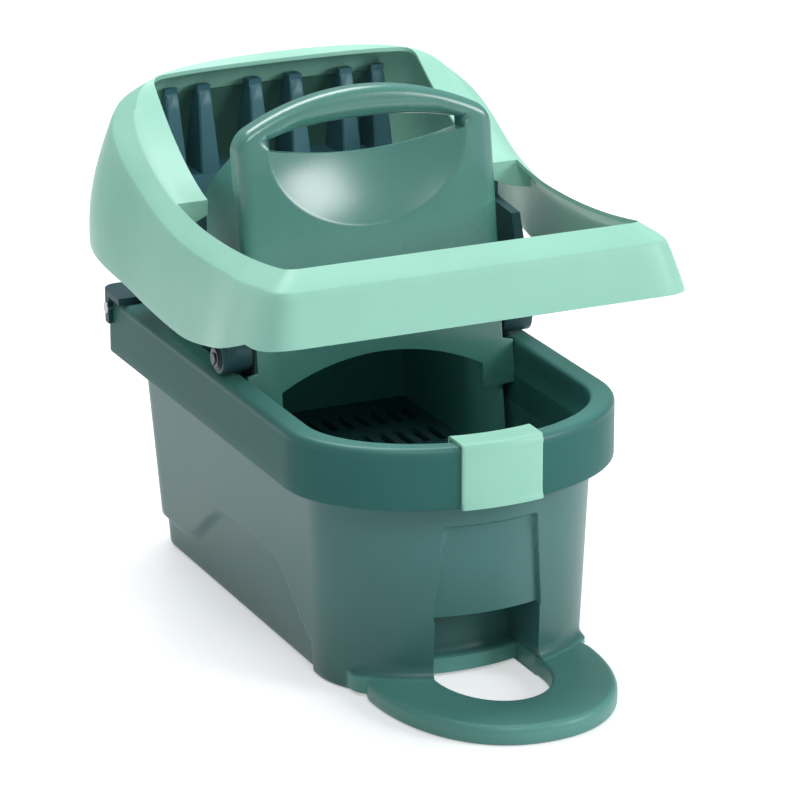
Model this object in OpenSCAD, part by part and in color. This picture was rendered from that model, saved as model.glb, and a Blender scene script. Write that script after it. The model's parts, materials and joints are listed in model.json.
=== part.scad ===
// Mop bucket with a lever press wringer.
// The lever, a hood at the rear and a bow at the front, turns on two stub pins and carries the press jaw
// towards a fixed press plate. A basket holds plate and pins over the bucket and hooks on its rim.
// Frame: X width, -Y front, +Y rear, Z up. The origin is on the floor, under the middle of the rim.

/* [Bucket] */
// Length of the rim, front to rear
rim_l = 420; // [400:2:440]
// Width of the rim
rim_w = 244; // [240:2:248]
// Height of the rim's top above the floor
rim_h = 186; // [176:2:196]
// Height of the skirt that hangs from the rim
skirt_h = 44; // [36:2:52]
// Width of the rim's flat top, from its outer face to the opening
flange_w = 18; // [16:1:20]
// Rounding of the rim's upper outer edge
rim_edge = 5; // [2:1:8]
// Wall of the bucket
wall = 3; // [2.4:0.2:3.6]
// Floor of the bucket
floor_t = 4; // [3:0.5:5]
// Length of the front end, where the plan runs into a half ellipse
nose_l = 90; // [80:2:100]
// How far the walls lean in at each side, from the rim to the floor
draft_side = 9; // [6:1:12]
// How far the front and rear walls lean in, from the rim to the floor
draft_end = 8; // [6:1:12]
// How much the wall stands forward at the front, where the rim's top is narrower
front_out = 4; // [2:0.5:6]
// Height of the arch pressed into each side
arch_h = 66; // [50:2:80]
// Depth of the inset below that arch
arch_inset = 4; // [3:0.5:5]

/* [Toe recess and foot loop] */
// Half width of the toe recess
toe_w = 40; // [36:1:42]
// Height of the toe recess
toe_h = 57; // [50:1:64]
// Depth of the toe recess behind the front wall
toe_d = 40; // [30:2:44]
// Height of the shallow panel's top above the floor
panel_h = 124; // [112:2:134]
// Depth of the shallow panel
panel_d = 5; // [3:0.5:6]
// How far the foot loop reaches in front of the bucket's foot
loop_l = 100; // [90:2:112]
// Half width of the foot loop
loop_w = 85; // [78:1:88]
// Thickness of the foot loop
loop_t = 14; // [10:1:18]
// Width of the foot loop's ring at its front
loop_ring = 47; // [40:1:56]

/* [Rim clip] */
// Width of the clip on the front rim
clip_w = 60; // [44:2:76]
// Thickness of the clip
clip_t = 3.6; // [2.8:0.2:4.2]
// Height of the clip's outer plate
clip_h = 42; // [34:1:42]

/* [Lever] */
// How far the lever's upper inner edge lies outside the rim, at each side
lever_out = 10; // [8:0.5:12]
// Distance from the pivot to the bow's upper inner edge
bow_l = 155; // [149:1:160]
// Distance from the pivot to the hood's rear upper edge
hood_l = 165; // [162:1:170]
// Height of the lever's upper edge at its lowest, above the pivot
lever_rise = 97; // [93:1:101]
// Rise from there to the hood's top
hood_rise = 66; // [58:1:72]
// Rise from there to the bow's upper edge
bow_rise = 13; // [8:1:18]
// Width that the lever's wall gains on its way down
flare = 27; // [25:0.5:29]
// How much more the wall gains at the bow
bow_flare = 7; // [4:1:9]
// How much more the wall gains at the hood's rear
hood_flare = 9; // [4:1:12]
// Wall of the lever
lever_wall = 3; // [2.5:0.1:3.5]
// Height of the side wall's lower edge above the pivot
lever_clear = 31; // [27:1:36]
// Room between the press plate and the mop slot's edge, at each side of the rear
slot_room = 5; // [2:0.5:7]

/* [Press] */
// Room between each cheek of the basket and the side of the rim's opening
cheek_room = 9; // [7:0.5:12]
// How far the press plate's upper part stands out past each cheek
plate_over = 3; // [1:0.5:4]
// Height of the press plate's handle above the pivot
plate_rise = 180; // [172:1:186]
// Depth of the press plate and its handle
plate_t = 17; // [15:0.5:19]
// How far the press plate leans back, in degrees
lean = 8.6; // [7:0.2:10]
// Half width of the hand slot
grip_w = 75; // [66:1:80]
// Height of the hand slot at its middle
grip_h = 25; // [22:1:30]
// Depth of the finger scoop under the hand slot
scoop_d = 11; // [8:0.5:12]
// Gap between the press jaw and each cheek
jaw_gap = 2; // [1:0.5:5]
// Width of each rib of the jaw
rib_w = 10; // [8:0.5:12]

/* [Pivot] */
// Height of the pivot above the rim
pivot_rise = 13; // [12.8:0.2:16]
// Radius of the stub pins
pin_r = 4; // [3.5:0.1:5]
// Radius of the arms' bosses
boss_r = 11.5; // [10:0.1:11.8]
// Running clearance round a pin, on the radius
run = 0.06; // [0.03:0.01:0.09]
// Gap between parts that only lie side by side
gap = 0.3; // [0.2:0.05:0.5]

/* [Hidden] */
$fn = 64;
eps = 0.2;

// Heights and places that follow from the sizes above
pivot_z = rim_h + pivot_rise;
hx = rim_w/2;
hy = rim_l/2;
nose_y = hy - nose_l;
top_in = flange_w - wall;
lever_w = hx + lever_out;
lever_low = pivot_z + lever_rise;
lever_bottom = pivot_z + lever_clear;
cheek_x = [hx - flange_w - cheek_room - wall, hx - flange_w - cheek_room];
jaw_w = cheek_x[0] - jaw_gap;
plate_w = cheek_x[1] + plate_over;
plate_h = pivot_z + plate_rise;
slot_w = plate_w + slot_room;

mint = [0.62, 0.86, 0.77];
deep_green = [0.27, 0.46, 0.44];
teal = [0.36, 0.56, 0.53];
slate = [0.2, 0.31, 0.35];
steel = [0.62, 0.64, 0.66];
rubber = [0.12, 0.12, 0.13];

// ---------- helpers ----------

// Plan of the bucket at one level: straight sides, a half ellipse in front, rounded corners behind
function plan(half_w, front, rear, corner) = concat(
    [for (i = [0:24]) let (a = 180*i/24) [half_w*cos(a), -nose_y - (front - nose_y)*sin(a)]],
    [for (i = [0:6]) let (a = 180 - 15*i) [-half_w + corner*(1 + cos(a)), rear - corner*(1 - sin(a))]],
    [for (i = [0:6]) let (a = 90 - 15*i) [half_w - corner*(1 - cos(a)), rear - corner*(1 - sin(a))]]
);

// The rim's outline, moved outwards by out
rim_corner = 9;
function rim_plan(out) = plan(hx + out, hy + out, hy + out, max(rim_corner + out, 2));

// A thin slice of an outline at height z, for hull()
module slice(points, z) {
    translate([0, 0, z]) linear_extrude(eps) polygon(points);
}

// An outline in the YZ plane, drawn out along X from x0 to x1
module along_x(x0, x1, points) {
    translate([x0, 0, 0]) rotate([90, 0, 90]) linear_extrude(x1 - x0) polygon(points);
}

// An outline in the XZ plane, drawn out along Y from y0 to y1
module along_y(y0, y1, points) {
    translate([0, y1, 0]) rotate([90, 0, 0]) linear_extrude(y1 - y0) polygon(points);
}

module box(low, high) {
    translate(low) cube(high - low);
}

// A round bar along X
module bar_x(r, x0, x1, y, z, fn = 64) {
    translate([x0, y, z]) rotate([0, 90, 0]) cylinder(r = r, h = x1 - x0, $fn = fn);
}

// Both sides, or one of them: side is -1 for left and 1 for right
module at_side(side) {
    if (side > 0) children();
    else mirror([1, 0, 0]) children();
}

module both_sides() {
    for (side = [-1, 1]) at_side(side) children();
}

// ---------- bucket ----------

// Plan of the tub's outside at height z, moved inwards by t
function tub_plan(z, t) = let (in = top_in + t, low = 1 - z/rim_h)
    plan(hx - in - draft_side*low, hy - in + front_out - draft_end*low, hy - in - draft_end*low, 17 + 17*low);

// Solid shape of the tub, moved inwards by t, from height z0 to z1
module tub(t, z0, z1) {
    hull() {
        slice(tub_plan(z0, t), z0);
        slice(tub_plan(z1, t), z1 - eps);
    }
}

// Height of the arch at y: a flat crown with a soft ramp to each side
arch_crown = [-45, 32];
arch_foot = [-118, 124];
arch_low = 22;
function arch_z(y) = arch_low + (arch_h - arch_low)*(1
    - ramp((arch_crown[0] - y)/(arch_crown[0] - arch_foot[0]))
    - ramp((y - arch_crown[1])/(arch_foot[1] - arch_crown[1])));

// Everything above the arch; in front of it the wall is full height
module above_arch(lift) {
    along_x(-hx, hx, concat(
        [[-hy, -1], [arch_foot[0], -1]],
        [for (i = [0:16]) let (y = arch_foot[0] + (arch_foot[1] - arch_foot[0])*i/16) [y, arch_z(y) + lift]],
        [[hy, arch_low + lift], [hy, rim_h + 4], [-hy, rim_h + 4]]
    ));
}

module tub_outside() {
    tub(arch_inset, 0, rim_h - 1);
    intersection() {
        tub(0, 0, rim_h - 1);
        above_arch(0);
    }
}

module tub_inside() {
    tub(wall + arch_inset, floor_t, rim_h - 1);
    intersection() {
        tub(wall, floor_t, rim_h + 2);
        above_arch(wall);
    }
}

// Front foot of the bucket, where the toe recess starts
foot_y = -(hy - top_in + front_out - draft_end);

// Toe recess with the shallow panel above it, grown by t
module toe_space(t) {
    box([-toe_w - t, foot_y - 40, t > 0 ? -1 : loop_t], [toe_w + t, foot_y + toe_d + t, toe_h + t]);
    lean_front = atan(draft_end/rim_h);
    translate([0, foot_y + panel_d + t, 0]) rotate([lean_front, 0, 0])
        along_y(-40, 0, [[-toe_w - 1 - t, toe_h - 1], [toe_w + 1 + t, toe_h - 1],
                         [toe_w - 4 + t, panel_h + t], [-toe_w + 4 - t, panel_h + t]]);
}

// Plan of the foot loop, a squared arc
loop_y = foot_y + 14;
loop_square = 0.92;
function loop_plan(half_w, front) = concat(
    [[half_w, loop_y + 28]],
    [for (i = [0:28]) let (a = 180*i/28)
        [half_w*sign(cos(a))*pow(abs(cos(a)), loop_square), loop_y - front*pow(sin(a), loop_square)]],
    [[-half_w, loop_y + 28]]
);

module foot_loop() {
    hull() {
        slice(loop_plan(loop_w, loop_l + 14), 0);
        slice(loop_plan(loop_w - 3, loop_l + 12), loop_t - 3);
        slice(loop_plan(loop_w - 6, loop_l + 9), loop_t - eps);
    }
}

// Hole of the foot loop, as wide as the toe recess and open back to its rear wall
loop_hole_l = loop_l - loop_ring;
module loop_hole() {
    translate([0, 0, -1]) linear_extrude(loop_t + 2) polygon(concat(
        [[toe_w, foot_y + toe_d]],
        [for (i = [0:32]) let (a = 180*i/32) [toe_w*cos(a), foot_y - loop_hole_l*sin(a)]],
        [[-toe_w, foot_y + toe_d]]
    ));
}

lock_y = hy - rim_corner - 4;
lock_z = rim_h - 7.5;
lock_r = 2.5;

module bucket() {
    color(deep_green) difference() {
        union() {
            difference() {
                union() {
                    difference() {
                        hull() {
                            translate([0, 0, rim_h - skirt_h]) linear_extrude(skirt_h - rim_edge)
                                polygon(rim_plan(0));
                            slice(rim_plan(-rim_edge*0.3), rim_h - rim_edge*0.3);
                            slice(rim_plan(-rim_edge), rim_h - eps);
                        }
                        translate([0, 0, rim_h - skirt_h - 1]) linear_extrude(skirt_h - wall + 1)
                            polygon(rim_plan(-wall));
                    }
                    tub_outside();
                    foot_loop();
                }
                difference() {
                    tub_inside();
                    toe_space(wall);
                }
                toe_space(0);
                loop_hole();
            }
        }
        // holes for the lock pins
        bar_x(lock_r + run, -hx - 1, -hx + wall + 1, lock_y, lock_z);
        bar_x(lock_r + run, hx - wall - 1, hx + 1, lock_y, lock_z);
    }
}

// ---------- rim clip ----------

// A ring that follows the rim, from offset a to offset b, between two heights
module rim_ring(a, b, z0, z1) {
    translate([0, 0, z0]) linear_extrude(z1 - z0) difference() {
        polygon(rim_plan(b));
        polygon(rim_plan(a));
    }
}

// The clip's hook hangs inside the opening, behind the front wall that leans in below it
hook_drop = 9;
hook_t = clip_t*0.7;
hook_in = flange_w - front_out + draft_end*hook_drop/rim_h + 2*gap;

module rim_clip() {
    color(mint) intersection() {
        union() {
            rim_ring(gap, clip_t, rim_h - clip_h, rim_h + clip_t);
            rim_ring(gap, clip_t + 2, rim_h - clip_h - 2, rim_h - clip_h + 2);
            rim_ring(gap, clip_t + 0.8, rim_h - 4, rim_h - 1);
            rim_ring(-hook_in - hook_t, clip_t, rim_h + gap, rim_h + clip_t);
            rim_ring(-hook_in - hook_t, -hook_in, rim_h - hook_drop, rim_h + clip_t);
        }
        box([-clip_w/2, -hy - 20, 0], [clip_w/2, -hy + flange_w + 20, rim_h + 40]);
    }
}

// ---------- lever ----------

// The lever is swept round its upper inner edge. Depth below the upper edge sets how far the wall stands out.
hood_y = 40;
bow_corner = 10;
low_y = -25;

// Height of the upper edge at x, y
function edge_z(x, y) =
    y < low_y ? lever_low + bow_rise*pow((low_y - y)/(bow_l + low_y), 2)
    : min(lever_low + hood_rise*pow((y - low_y)/(hood_l + low_y + 41), 2.35),
          lever_low + hood_rise + 7*(1 - pow(x/100, 2)));

// Height of the lower edge at y
function foot_z(y) =
    y < low_y ? lever_bottom + 32*pow((low_y - y)/(bow_l + low_y), 1.6)
    : lever_bottom + 32*pow((y - low_y)/(hood_l - low_y), 2);

// How far the wall stands out from the upper edge, at depth u below it
function stand_out(u) = 0.5*min(u/11, 1) + 0.5*sin(90*min(max(u - 11, 0)/75, 1));
function ramp(t) = (1 - cos(180*min(max(t, 0), 1)))/2;
function flare_at(y) = flare + bow_flare*ramp((-60 - y)/60) + hood_flare*ramp((y - 60)/90);

// The upper inner edge: points [x, y, normal x, normal y], round the lever
corner_x = lever_w - bow_corner;
corner_mitre = 0.45;
function hood_point(a) = let (
    c = pow(cos(a), 0.4), s = pow(sin(a), 0.4),
    nx = pow(cos(a), 1.6)*(hood_l - hood_y), ny = pow(sin(a), 1.6)*lever_w, n = norm([nx, ny])
) [lever_w*c, hood_y + (hood_l - hood_y)*s, nx/n, ny/n];
right_edge = concat(
    [for (i = [0:4]) [corner_x*i/4, -bow_l, 0, -1]],
    [for (i = [1:6]) let (a = -90 + 15*i)
        [corner_x + bow_corner*cos(a), -bow_l + bow_corner*(1 + sin(a)),
         pow(max(cos(a), 0), corner_mitre), -pow(abs(sin(a)), corner_mitre)]],
    [for (i = [1:7]) [lever_w, -bow_l + bow_corner + (hood_y + bow_l - bow_corner)*i/7, 1, 0]],
    [for (a = [4, 8, 12, 17, 23, 30, 38, 46, 54, 62, 69, 75, 80, 84, 87, 89, 90]) hood_point(a)]
);
half_n = len(right_edge);
ring = concat(right_edge, [for (i = [half_n - 2:-1:1]) let (p = right_edge[i]) [-p[0], p[1], -p[2], p[3]]]);

// Section of the wall at one point of the ring: out along the top band, down outside, up inside
down_steps = [0, 11, 0.2, 0.45, 0.72, 1];
function depth(i, total) = i < 2 ? down_steps[i] : 11 + (total - 11)*down_steps[i];
function section(p) = let (top = edge_z(p[0], p[1]), total = top - foot_z(p[1]), f = flare_at(p[1]))
concat(
    [for (i = [0:5]) let (u = depth(i, total), d = f*stand_out(u)) [p[0] + p[2]*d, p[1] + p[3]*d, top - u]],
    [for (i = [5:-1:1]) let (u = depth(i, total), d = f*stand_out(u) - lever_wall)
        [p[0] + p[2]*d, p[1] + p[3]*d, top - u - (i == 1 ? lever_wall*0.7 : 0)]],
    [[p[0], p[1], top - lever_wall]]
);

module lever_shell() {
    m = 12;
    n = len(ring);
    points = [for (p = ring) each section(p)];
    faces = [for (i = [0:n - 1], j = [0:m - 1])
        let (a = i*m + j, b = i*m + (j + 1)%m, c = ((i + 1)%n)*m + (j + 1)%m, d = ((i + 1)%n)*m + j)
        each [[a, c, b], [a, d, c]]];
    polyhedron(points, faces, convexity = 8);
}

// Flat frame round the mop slot, which closes the hood's top at both sides
slot_front = 36;
slot_flare = 8;
function slot_x(y) = slot_w + slot_flare*(hood_l - 4 - y)/(hood_l - 4 - slot_front);
module slot_frame() {
    strip = [for (i = [0:9]) let (y = slot_front + (hood_l - 1 - slot_front)*i/9) [y, edge_z(lever_w, y)]];
    intersection() {
        along_x(-lever_w, lever_w, concat(strip, [for (i = [9:-1:0]) strip[i] - [0, lever_wall]]));
        linear_extrude(lever_low + hood_rise + 20) difference() {
            polygon([for (p = ring) [p[0] + p[2]*2, p[1] + p[3]*2]]);
            polygon([[-slot_x(slot_front - 1), slot_front - 1], [slot_x(slot_front - 1), slot_front - 1],
                     [slot_w, hood_l + 5], [-slot_w, hood_l + 5]]);
        }
    }
}

// Short web under the front end of that frame
web_drop = 19;
module frame_web() {
    z = edge_z(lever_w, slot_front);
    out = lever_w + flare*stand_out(11) - lever_wall;
    along_y(slot_front, slot_front + lever_wall, [[slot_x(slot_front), z - lever_wall/2],
        [lever_w, z - lever_wall/2], [out + 1, z - 14], [out + 2, z - web_drop - 3],
        [lever_w - 6, z - web_drop], [slot_x(slot_front), z - 12]]);
}

// Where the arms are screwed to the lever
arm_x = [hx - 12, hx - 5];
arm_top = [slot_front + 4, slot_front + 22];
mount_rise = 65;
mount_z = pivot_z + mount_rise;
arm_screw_up = [9, 23];
arm_screw_in = 9;
arm_screw = [for (up = arm_screw_up) [arm_top[0] + arm_screw_in, mount_z + up]];
screw_r = 2;
module arm_mount() {
    z = edge_z(lever_w, slot_front) - 1;
    box([arm_x[1], arm_top[0] - 2, mount_z], [arm_x[1] + lever_wall + 3, arm_top[1] + 2, z]);
}

// Ledges on the hood's rear wall that carry the jaw
jaw_rise = 84;
jaw_z = pivot_z + jaw_rise;
jaw_t = 6;
jaw_screw_x = jaw_w - 20;
jaw_screw_l = 16;
jaw_screw_y = hood_l + 20;
function rear_y(z) = hood_l + flare_at(hood_l)*stand_out(lever_low + hood_rise - z) - lever_wall;
module jaw_ledge() {
    box([jaw_screw_x - 8, rear_y(jaw_z) - 17, jaw_z - jaw_t - 12],
        [jaw_screw_x + 8, rear_y(jaw_z) + 1.5, jaw_z - jaw_t]);
}

module lever() {
    color(mint) difference() {
        union() {
            lever_shell();
            slot_frame();
            both_sides() {
                frame_web();
                arm_mount();
                jaw_ledge();
            }
        }
        both_sides() {
            for (s = arm_screw) bar_x(screw_r, arm_x[1] - 1, arm_x[1] + 9, s[0], s[1], 32);
            translate([jaw_screw_x, jaw_screw_y - 1, jaw_z - jaw_t - 13])
                cylinder(r = screw_r, h = 14, $fn = 32);
        }
    }
}

// ---------- press jaw ----------

rib_x = [16, jaw_w - 33.5, jaw_w - 8];
rib_rise = 147;
rib_top = pivot_z + rib_rise;
jaw_foot = [62, pivot_z + 1];
hood_curve = 5;
// The jaw's rear edge at x and height z, which follows the hood's curved wall
function jaw_rear(x, z) = rear_y(z) - 1 - hood_curve*pow(x/jaw_w, 2);
module press_jaw() {
    back = jaw_rear(0, jaw_z);
    front = hood_l - 5;
    color(slate) difference() {
        union() {
            intersection() {
                along_x(-jaw_w, jaw_w, [[back, jaw_z], [front, jaw_z], [jaw_foot[0], jaw_foot[1] + 5],
                    [jaw_foot[0], jaw_foot[1]], [front + 2, jaw_z - jaw_t], [back, jaw_z - jaw_t]]);
                linear_extrude(jaw_z + 1) polygon(concat([[jaw_w, 0], [-jaw_w, 0]],
                    [for (i = [-8:8]) let (x = jaw_w*i/8) [x, jaw_rear(x, jaw_z)]]));
            }
            for (x = rib_x, side = [-1, 1]) let (out = x + rib_w/2)
                along_x(side*x - rib_w/2, side*x + rib_w/2,
                    [[hood_l + 7, rib_top], [jaw_rear(out, rib_top), rib_top],
                     [jaw_rear(out, jaw_z), jaw_z - 1], [back - 14, jaw_z - 1]]);
        }
        // drain slots in the sloping face
        for (i = [-3:3], j = [0:2]) translate([i*(jaw_w - 18)/3, jaw_foot[0] + 22 + j*28, 0])
            box([-3, -9, jaw_foot[1]], [3, 9, jaw_z + 1]);
        for (side = [-1, 1]) translate([side*jaw_screw_x, jaw_screw_y - 1, jaw_z - jaw_t - 1])
            cylinder(r = screw_r + 0.3, h = jaw_t + 2, $fn = 32);
    }
}

module jaw_screws() {
    color(steel) for (side = [-1, 1]) translate([side*jaw_screw_x, jaw_screw_y - 1, jaw_z]) {
        cylinder(r = 4, h = 2.4, $fn = 32);
        translate([0, 0, -jaw_screw_l]) cylinder(r = screw_r, h = jaw_screw_l + eps/2, $fn = 32);
    }
}

// ---------- press plate with handle ----------

// The plate's own frame: y = 0 is the front face, and z is the height above the floor
lean_rise = 86;
lean_z = pivot_z + lean_rise;
module leaned() {
    translate([0, 0, lean_z]) rotate([-lean, 0, 0]) translate([0, 0, -lean_z]) children();
}
skirt_top = pivot_z + 42;
plate_foot = rim_h - 34;
plate_low_w = hx - flange_w - draft_side*(rim_h - plate_foot)/rim_h - gap;
step_z = pivot_z + 31;
skin_t = wall + 1;
crest = 27;
shoulder_z = plate_h - crest;
crest_r = (pow(plate_w, 2) + pow(crest, 2))/(2*crest);
grip_z = plate_h - 44;
grip_arch_r = (pow(grip_w, 2) + pow(grip_h - 8, 2))/(2*(grip_h - 8));

// Outline of the plate seen from the front
module plate_outline() {
    difference() {
        union() {
            translate([-plate_w, skirt_top]) square([2*plate_w, shoulder_z - skirt_top]);
            translate([-plate_low_w + 8, plate_foot]) square([2*plate_low_w - 16, skirt_top - plate_foot]);
            translate([-plate_low_w, plate_foot]) square([2*plate_low_w, rim_h - 1 - plate_foot]);
            intersection() {
                translate([0, plate_h - crest_r]) circle(r = crest_r, $fn = 200);
                translate([-plate_w, shoulder_z - 1]) square([2*plate_w, crest + 2]);
            }
        }
        // arched lower edge
        translate([0, rim_h + 4 - 165]) circle(r = 165, $fn = 200);
    }
}

module hand_slot() {
    intersection() {
        translate([0, grip_z + grip_h - grip_arch_r]) circle(r = grip_arch_r, $fn = 200);
        translate([-grip_w, grip_z]) square([2*grip_w, grip_h + 1]);
    }
}

scoop_half = grip_w - 2;
scoop_drop = 53;
scoop_ring = (pow(scoop_half, 2) + pow(scoop_drop, 2))/(2*scoop_drop);
scoop_r = (pow(scoop_ring, 2) + pow(scoop_d, 2))/(2*scoop_d);
plate_screw_in = 10;
plate_screw_up = [-55, 25];
plate_screw = [for (up = plate_screw_up) [plate_w - plate_screw_in, lean_z + up]];
plate_screw_l = 11;

module press_plate() {
    color(teal) leaned() difference() {
        translate([0, plate_t, 0]) rotate([90, 0, 0]) linear_extrude(plate_t) plate_outline();
        translate([0, plate_t + 1, 0]) rotate([90, 0, 0]) linear_extrude(plate_t + 2) hand_slot();
        // finger scoop
        intersection() {
            translate([0, scoop_d - scoop_r, grip_z - scoop_drop + scoop_ring]) sphere(r = scoop_r, $fn = 128);
            box([-grip_w, -1, grip_z - scoop_drop - 5], [grip_w, plate_t, grip_z + 0.1]);
        }
        // thin skin below the step, and a hollow back above it
        box([-hx, skin_t, 0], [hx, plate_t + 1, step_z]);
        box([-plate_w + 17, skin_t, step_z - 1], [plate_w - 17, plate_t + 1, grip_z - scoop_drop - 12]);
        for (side = [-1, 1], s = plate_screw) translate([side*s[0], plate_t + 1, s[1]])
            rotate([90, 0, 0]) cylinder(r = screw_r, h = plate_screw_l, $fn = 32);
    }
}

module plate_screws() {
    color(steel) leaned() for (side = [-1, 1], s = plate_screw)
        translate([side*s[0], plate_t + wall, s[1]]) rotate([90, 0, 0]) {
            cylinder(r = screw_r, h = plate_screw_l, $fn = 32);
            translate([0, 0, -2.2]) cylinder(r = 3.8, h = 2.2, $fn = 32);
        }
}

// ---------- basket ----------

basket_back = 60;
cheek_rise = 139;
knee_rise = 109;
knee_y = 66;
cheek_rear = hy - basket_back;
cheek_top = pivot_z + cheek_rise;
cheek_knee = [knee_y, pivot_z + knee_rise];
bed_drop = 96;
bed_z = rim_h - bed_drop;
function plate_back(z) = (z - lean_z)*tan(lean) + plate_t/cos(lean);
function skin_back(z) = plate_back(z) - (plate_t - skin_t)/cos(lean) + gap;
yoke_t = 5;
yoke_screw_x = [30, cheek_x[0] - 12];
yoke_screw_l = 9;
grate_t = 4;

module basket() {
    color(teal) difference() {
        union() {
            both_sides() {
                along_x(cheek_x[0], cheek_x[1], [
                    [skin_back(bed_z), bed_z - grate_t], [cheek_rear, bed_z - grate_t],
                    [cheek_rear, rim_h + 30], cheek_knee, [plate_back(cheek_top), cheek_top],
                    [plate_back(step_z), step_z - 5],
                    [skin_back(step_z), step_z - 5]]);
                leaned() box([plate_w - 17, plate_t, lean_z - 68], [cheek_x[1], plate_t + wall, lean_z + 40]);
                // ledge for the stop buffer
                box([cheek_x[0] - 12, jaw_foot[0] - 6, jaw_foot[1] - 9],
                    [cheek_x[0] + 1, jaw_foot[0] + 8, jaw_foot[1] - 5]);
            }
            // front and rear beams under the drain grate, and the rear wall
            box([-cheek_x[1], skin_back(bed_z), bed_z - grate_t], [cheek_x[1], skin_back(bed_z) + 10, bed_z]);
            box([-cheek_x[1], cheek_rear - 10, bed_z - grate_t], [cheek_x[1], cheek_rear, bed_z]);
            box([-cheek_x[1], cheek_rear - wall, bed_z - grate_t], [cheek_x[1], cheek_rear, rim_h + gap]);
            box([-cheek_x[1], cheek_rear - 8, rim_h - 5], [cheek_x[1], cheek_rear, rim_h + gap]);
        }
        both_sides() {
            bar_x(pin_r + run, cheek_x[0] - 1, cheek_x[1] + 1, 0, pivot_z);
            for (r = rivet_place) bar_x(rivet_r, cheek_x[0] - 1, cheek_x[1] + 1, r[0], pivot_z + r[1], 32);
            for (x = yoke_screw_x) translate([x, cheek_rear - 4, rim_h - 6])
                cylinder(r = screw_r, h = 10, $fn = 32);
        }
        leaned() for (side = [-1, 1], s = plate_screw) translate([side*s[0], plate_t + wall + 1, s[1]])
            rotate([90, 0, 0]) cylinder(r = screw_r + 0.2, h = wall + 2, $fn = 32);
    }
}

module drain_grate() {
    low = skin_back(bed_z) + 3;
    high = cheek_rear - wall - gap;
    color(slate) difference() {
        box([-cheek_x[0] + gap, low, bed_z], [cheek_x[0] - gap, high, bed_z + grate_t]);
        for (i = [-6:6], j = [0:2])
            translate([i*(cheek_x[0] - 14)/6, low + 12 + (high - low - 24)*(j + 0.5)/3, bed_z])
            box([-3, -15, -1], [3, 15, grate_t + 1]);
    }
}

// Yoke that hooks the basket over the rear of the rim
module rear_yoke() {
    z0 = rim_h + gap;
    color(slate) difference() {
        union() {
            box([-cheek_x[0] + gap, cheek_rear - 8, z0], [cheek_x[0] - gap, hy - 34, z0 + yoke_t]);
            translate([0, 0, z0]) linear_extrude(yoke_t) intersection() {
                polygon(rim_plan(gap + wall));
                translate([-hx - 10, hy - 35]) square([rim_w + 20, 60]);
            }
            // flaps down the rim's outer face
            intersection() {
                rim_ring(gap, gap + wall, rim_h - 20, z0 + 1);
                union() {
                    both_sides() box([hx - 16, hy - 14, 0], [hx + 10, hy + 10, rim_h + 20]);
                    box([-hx, hy - 1, 0], [hx, hy + 10, rim_h + 20]);
                }
            }
        }
        both_sides() {
            bar_x(lock_r + run, hx - 1, hx + 10, lock_y, lock_z);
            for (x = yoke_screw_x) translate([x, cheek_rear - 4, rim_h - 1])
                cylinder(r = screw_r + 0.2, h = 10, $fn = 32);
        }
    }
}

module yoke_screws() {
    color(steel) both_sides() for (x = yoke_screw_x) translate([x, cheek_rear - 4, rim_h + gap + yoke_t]) {
        cylinder(r = 3.4, h = 1.8, $fn = 32);
        translate([0, 0, -yoke_screw_l]) cylinder(r = screw_r, h = yoke_screw_l + eps/2, $fn = 32);
    }
}

module lock_pin(side) {
    color(steel) at_side(side) {
        bar_x(lock_r, hx - wall - 1, hx + gap + wall + 0.1, lock_y, lock_z);
        bar_x(lock_r + 1.6, hx + gap + wall, hx + gap + wall + 2, lock_y, lock_z);
    }
}

module stop_buffers() {
    color(rubber) both_sides()
        box([cheek_x[0] - 11, jaw_foot[0] - 5, jaw_foot[1] - 5],
            [cheek_x[0] - 1, jaw_foot[0] + 7, jaw_foot[1]]);
}

// ---------- pivot ----------

bracket_t = 2;
bracket_half = [8, 13];
bracket_x = [cheek_x[1], cheek_x[1] + bracket_t];
boss_x = [bracket_x[1] + 1, hx - 2];
rivet_r = 1.6;
rivet_place = [[9, -10], [9, 10]];
washer_t = 1;
ring_x = boss_x[1] + washer_t + 0.4;

module pivot_arm(side) {
    tip = arm_top;
    z1 = edge_z(lever_w, slot_front) - lever_wall - 2;
    color(slate) at_side(side) difference() {
        union() {
            bar_x(boss_r, boss_x[0], boss_x[1], 0, pivot_z);
            along_x(arm_x[0], arm_x[1], [[-boss_r, pivot_z], [boss_r, pivot_z], [tip[1], mount_z],
                [tip[1], z1], [tip[0], z1], [tip[0], z1 - web_drop], [4, z1 - web_drop - 3], [-5, z1 - 45]]);
        }
        bar_x(pin_r + 1.5, boss_x[0] - 1, boss_x[1] + 1, 0, pivot_z);
        for (s = arm_screw) bar_x(screw_r + 0.3, arm_x[0] - 1, arm_x[1] + 1, s[0], s[1], 32);
    }
}

module pivot_bush(side) {
    color(rubber) at_side(side) difference() {
        bar_x(pin_r + 1.5, boss_x[0], boss_x[1], 0, pivot_z);
        bar_x(pin_r + run, boss_x[0] - 1, boss_x[1] + 1, 0, pivot_z);
    }
}

module pivot_bracket(side) {
    color(steel) at_side(side) difference() {
        box([bracket_x[0], -bracket_half[0], pivot_z - 20], [bracket_x[1], bracket_half[1], pivot_z + 15]);
        bar_x(pin_r + run, bracket_x[0] - 1, bracket_x[1] + 1, 0, pivot_z);
        for (r = rivet_place) bar_x(rivet_r, bracket_x[0] - 1, bracket_x[1] + 1, r[0], pivot_z + r[1], 32);
    }
}

module pivot_pin(side) {
    color(steel) at_side(side) difference() {
        union() {
            bar_x(pin_r, cheek_x[0] - 0.1, ring_x + 2.4, 0, pivot_z);
            bar_x(pin_r + 2.5, cheek_x[0] - 1.8, cheek_x[0], 0, pivot_z);
        }
        difference() {
            bar_x(pin_r + 1, ring_x, ring_x + 1.2, 0, pivot_z);
            bar_x(pin_r - 0.8, ring_x - 1, ring_x + 3, 0, pivot_z);
        }
    }
}

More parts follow.
